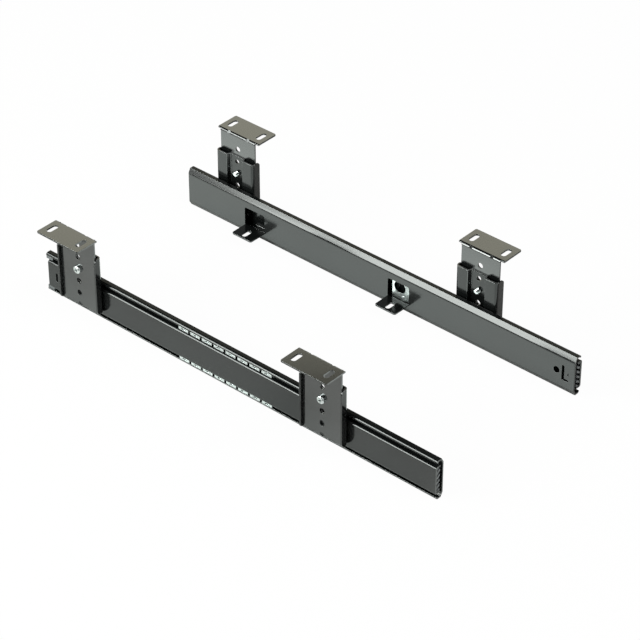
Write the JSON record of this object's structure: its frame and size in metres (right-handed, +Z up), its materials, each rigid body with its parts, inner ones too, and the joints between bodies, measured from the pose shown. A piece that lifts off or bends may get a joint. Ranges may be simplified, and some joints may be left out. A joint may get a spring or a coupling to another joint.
{
  "type": "keyboard tray slide set",
  "caption": "Pair of ball-bearing keyboard tray slides on height-adjustable sleeves and hangers that screw under a desk.",
  "frame": {"origin": "centre of the eight hanger slots, on the plane of the desk's underside", "axes": "+X right as the user sits, +Y to the back of the desk, +Z up; the tray pulls out along -Y"},
  "size_m": [0.255, 0.45, 0.09],
  "materials": {
    "hanger_coat": "glossy black electrocoat on sheet steel",
    "sleeve_coat": "glossy black electrocoat on sheet steel",
    "rail_coat": "glossy black electrocoat on rolled steel",
    "tray_rail_coat": "glossy black electrocoat on rolled steel",
    "rivet_black": "black coated steel rivets",
    "screw_zinc": "bright zinc-plated steel",
    "cage_zinc": "bright zinc-plated strip steel",
    "ball_steel": "polished bearing steel, lightly greased",
    "black_plastic": "moulded black plastic"
  },
  "bodies": {
    "desk_frame": {"left_rear_hanger": "hanger_coat", "left_rear_sleeve": "sleeve_coat", "left_rear_height_screw": "screw_zinc", "left_rear_rivets": "rivet_black", "left_front_hanger": "hanger_coat", "left_front_sleeve": "sleeve_coat", "left_front_height_screw": "screw_zinc", "left_front_rivets": "rivet_black", "right_rear_hanger": "hanger_coat", "right_rear_sleeve": "sleeve_coat", "right_rear_height_screw": "screw_zinc", "right_rear_rivets": "rivet_black", "right_front_hanger": "hanger_coat", "right_front_sleeve": "sleeve_coat", "right_front_height_screw": "screw_zinc", "right_front_rivets": "rivet_black", "left_hanging_rail": "rail_coat", "left_front_bumper": "black_plastic", "right_hanging_rail": "rail_coat", "right_front_bumper": "black_plastic"},
    "left_tray_slide": {"left_tray_rail": "tray_rail_coat", "left_rear_stop": "black_plastic"},
    "left_cage": {"left_ball_cage": "cage_zinc", "left_balls": "ball_steel"},
    "right_tray_slide": {"right_tray_rail": "tray_rail_coat", "right_rear_stop": "black_plastic"},
    "right_cage": {"right_ball_cage": "cage_zinc", "right_balls": "ball_steel"}
  },
  "joints": [
    {"name": "left_extension", "type": "slide", "parent": "desk_frame", "child": "left_tray_slide", "axis": [0, -1, 0], "range_m": [0, 0.3]},
    {"name": "left_cage_travel", "type": "slide", "parent": "desk_frame", "child": "left_cage", "axis": [0, -1, 0], "range_m": [0, 0.15]},
    {"name": "right_extension", "type": "slide", "parent": "desk_frame", "child": "right_tray_slide", "axis": [0, -1, 0], "range_m": [0, 0.3]},
    {"name": "right_cage_travel", "type": "slide", "parent": "desk_frame", "child": "right_cage", "axis": [0, -1, 0], "range_m": [0, 0.15]}
  ],
  "couplings": [
    {"joint": "left_cage_travel", "follows": "left_extension", "ratio": 0.5},
    {"joint": "right_cage_travel", "follows": "right_extension", "ratio": 0.5}
  ]
}
